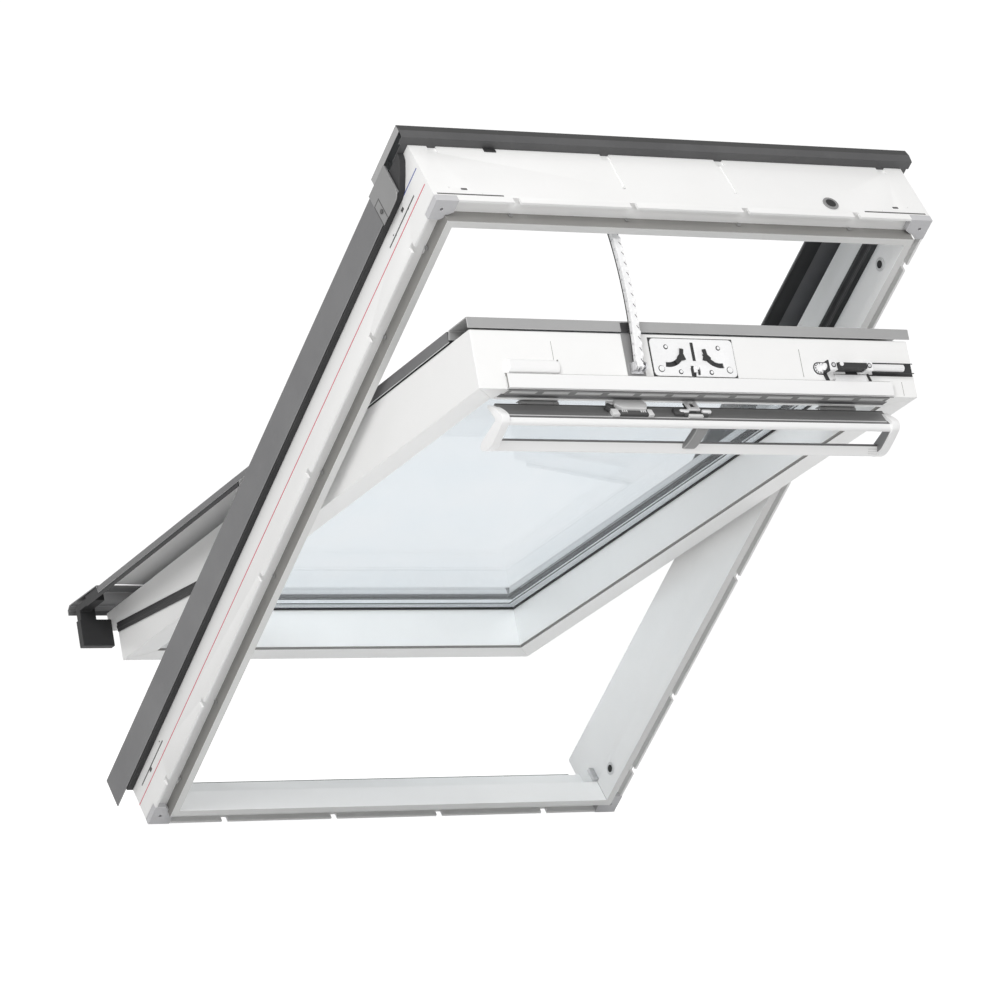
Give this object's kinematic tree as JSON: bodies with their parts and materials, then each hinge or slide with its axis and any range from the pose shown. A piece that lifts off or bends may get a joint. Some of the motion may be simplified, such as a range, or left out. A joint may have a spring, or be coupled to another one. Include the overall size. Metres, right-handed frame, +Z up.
{
  "type": "roof skylight",
  "caption": "Centre-pivot roof window with white frame and sash, grey cladding, chain operator, ventilation flap and control bar, for a pitched roof",
  "frame": {"origin": "middle of the plane of the frame's room-side lip, where the frame fills the roof opening", "axes": "+X across the window to the right as seen from the room, +Y level and outward from the room, +Z up; the window lies in a roof of 45 degrees pitch, so its upward slope runs along -Y and +Z"},
  "size_m": [0.8096, 1.1194, 0.9355],
  "materials": {
    "white_lacquer": "smooth satin white polyurethane",
    "pale_plastic": "pale grey moulded plastic",
    "dark_cladding": "dark grey lacquered aluminium",
    "mid_cladding": "mid grey lacquered aluminium",
    "light_cladding": "grey lacquered aluminium",
    "black_rubber": "black rubber",
    "zinc_steel": "zinc plated steel",
    "grey_plastic": "grey moulded plastic",
    "channel_grey": "grey anodised aluminium",
    "dark_cam": "blackened steel",
    "glass": "clear glass"
  },
  "bodies": {
    "frame": {"frame_top_rail": "white_lacquer", "frame_bottom_rail": "white_lacquer", "frame_left_rail": "white_lacquer", "frame_right_rail": "white_lacquer", "lining_corners": "pale_plastic", "lining_screws": "zinc_steel", "frame_top_cladding": "dark_cladding", "frame_bottom_cladding": "dark_cladding", "side_flange_left": "mid_cladding", "side_flange_right": "mid_cladding", "side_cover_left": "mid_cladding", "side_cover_right": "mid_cladding", "corner_cover_left": "light_cladding", "corner_cover_right": "light_cladding", "corner_cover_screws": "zinc_steel", "flange_gaskets": "black_rubber", "reveal_gaskets": "black_rubber", "cover_gaskets": "black_rubber", "cable_gland": "grey_plastic", "bolt_bushes": "pale_plastic", "pivot_housings": "zinc_steel", "chain_operator": "pale_plastic", "chain": "zinc_steel", "striker": "zinc_steel"},
    "sash": {"sash_top_rail": "white_lacquer", "sash_bottom_rail": "white_lacquer", "sash_left_rail": "white_lacquer", "sash_right_rail": "white_lacquer", "pane_inner": "glass", "pane_outer": "glass", "glass_spacer": "zinc_steel", "glazing_seals": "black_rubber", "sash_top_cladding": "light_cladding", "sash_bottom_cladding": "light_cladding", "sash_left_cladding": "light_cladding", "sash_right_cladding": "light_cladding", "side_seals": "black_rubber", "end_blocks": "black_rubber", "pivot_plates": "zinc_steel", "data_cover": "white_lacquer", "chain_strip": "grey_plastic", "chain_bracket": "zinc_steel", "lock_plate": "zinc_steel", "lock_rivets": "zinc_steel", "vent_grille": "grey_plastic", "bar_hinge_blocks": "grey_plastic", "bar_hinge_pins": "zinc_steel", "bolt_housing": "zinc_steel"},
    "flap": {"vent_flap": "white_lacquer"},
    "bar": {"bar_channel": "channel_grey", "bar_knuckles": "channel_grey", "bar_edge": "white_lacquer", "bar_grip": "white_lacquer", "bar_arm": "pale_plastic", "bar_caps": "white_lacquer", "lock_box": "grey_plastic", "latch": "zinc_steel"},
    "bolt": {"bolt_rod": "zinc_steel"},
    "cam_l": {"cam_left": "dark_cam"},
    "cam_r": {"cam_right": "dark_cam"}
  },
  "joints": [
    {"name": "sash_pivot", "type": "hinge", "parent": "frame", "child": "sash", "pos_m": [0, 0.07637, 0.07637], "axis": [1, 0, 0], "range_deg": [-25.93, 0], "deforming": ["chain"]},
    {"name": "bar_hinge", "type": "hinge", "parent": "sash", "child": "bar", "pos_m": [0, -0.40369, 0.16296], "axis": [1, 0, 0], "range_deg": [0, 45]},
    {"name": "flap_hinge", "type": "hinge", "parent": "sash", "child": "flap", "pos_m": [0, -0.4341, 0.19834], "axis": [1, 0, 0], "range_deg": [-30, 0]},
    {"name": "cam_left_turn", "type": "hinge", "parent": "sash", "child": "cam_l", "pos_m": [-0.0485, -0.41722, 0.24012], "axis": [0, 0.9451, -0.3267], "range_deg": [0, 35.5]},
    {"name": "cam_right_turn", "type": "hinge", "parent": "sash", "child": "cam_r", "pos_m": [0.0335, -0.41722, 0.24012], "axis": [0, 0.9451, -0.3267], "range_deg": [-35.5, 0]},
    {"name": "bolt_slide", "type": "slide", "parent": "sash", "child": "bolt", "axis": [1, 0, 0], "range_m": [0, 0.024]}
  ],
  "couplings": [
    {"joint": "flap_hinge", "follows": "bar_hinge", "ratio": -0.66},
    {"joint": "cam_left_turn", "follows": "bar_hinge", "ratio": 0.777},
    {"joint": "cam_right_turn", "follows": "bar_hinge", "ratio": -0.777}
  ]
}
